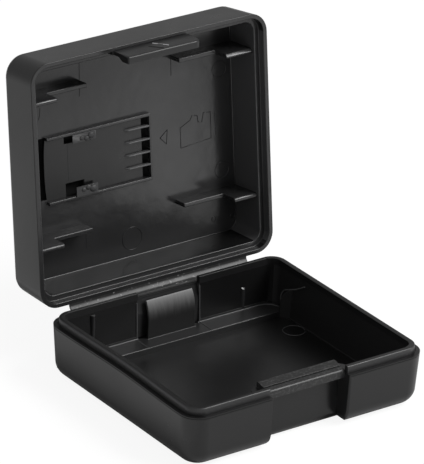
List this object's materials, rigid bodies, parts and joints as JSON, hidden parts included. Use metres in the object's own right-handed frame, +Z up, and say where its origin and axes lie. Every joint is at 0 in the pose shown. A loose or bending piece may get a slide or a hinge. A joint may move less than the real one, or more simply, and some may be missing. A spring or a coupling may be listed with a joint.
{
  "type": "hinged battery and memory card case",
  "caption": "Hinged clamshell case for one small camera battery, with a snap latch, a battery spring and a memory card holder in the lid.",
  "frame": {"origin": "middle of the base's footprint, on the surface the case stands on", "axes": "+X to the right, +Y from the latch side back to the hinge, +Z up; the lid stands open at 96.6 degrees"},
  "size_m": [0.05, 0.0607, 0.0556],
  "materials": {
    "moulding": "satin black polypropylene",
    "moulding_inner": "satin black polypropylene with polished mould faces"
  },
  "bodies": {
    "base": {"base_tray": "moulding", "rim_lip": "moulding", "catch_bead": "moulding", "rear_ledge": "moulding_inner", "corner_guide_left": "moulding_inner", "corner_guide_right": "moulding_inner", "wall_rib_left": "moulding_inner", "wall_rib_right": "moulding_inner", "hinge_base_leaf": "moulding", "hinge_crease": "moulding"},
    "spring": {"spring_tongue": "moulding_inner"},
    "lid": {"lid_shell": "moulding", "hinge_lid_leaf": "moulding", "lid_rib_front_left": "moulding_inner", "lid_rib_front_right": "moulding_inner", "lid_rib_rear_left": "moulding_inner", "lid_rib_rear_right": "moulding_inner", "card_frame": "moulding_inner", "card_bed": "moulding_inner", "card_comb": "moulding_inner", "card_clip_front": "moulding_inner", "card_clip_rear": "moulding_inner"},
    "latch": {"latch_tab": "moulding"}
  },
  "joints": [
    {"name": "lid_hinge", "type": "hinge", "parent": "base", "child": "lid", "pos_m": [0, 0.0235, 0.00995], "axis": [-1, 0, 0], "range_deg": [-96.6, 83.4]},
    {"name": "latch_flex", "type": "hinge", "parent": "lid", "child": "latch", "pos_m": [0, 0.02873, 0.05472], "axis": [-1, 0, 0], "range_deg": [0, 10], "stiffness_Nm_per_rad": 0.05},
    {"name": "spring_flex", "type": "hinge", "parent": "base", "child": "spring", "pos_m": [0, 0.01977, 0.0024], "axis": [-1, 0, 0], "range_deg": [0, 2.1], "stiffness_Nm_per_rad": 0.05}
  ]
}
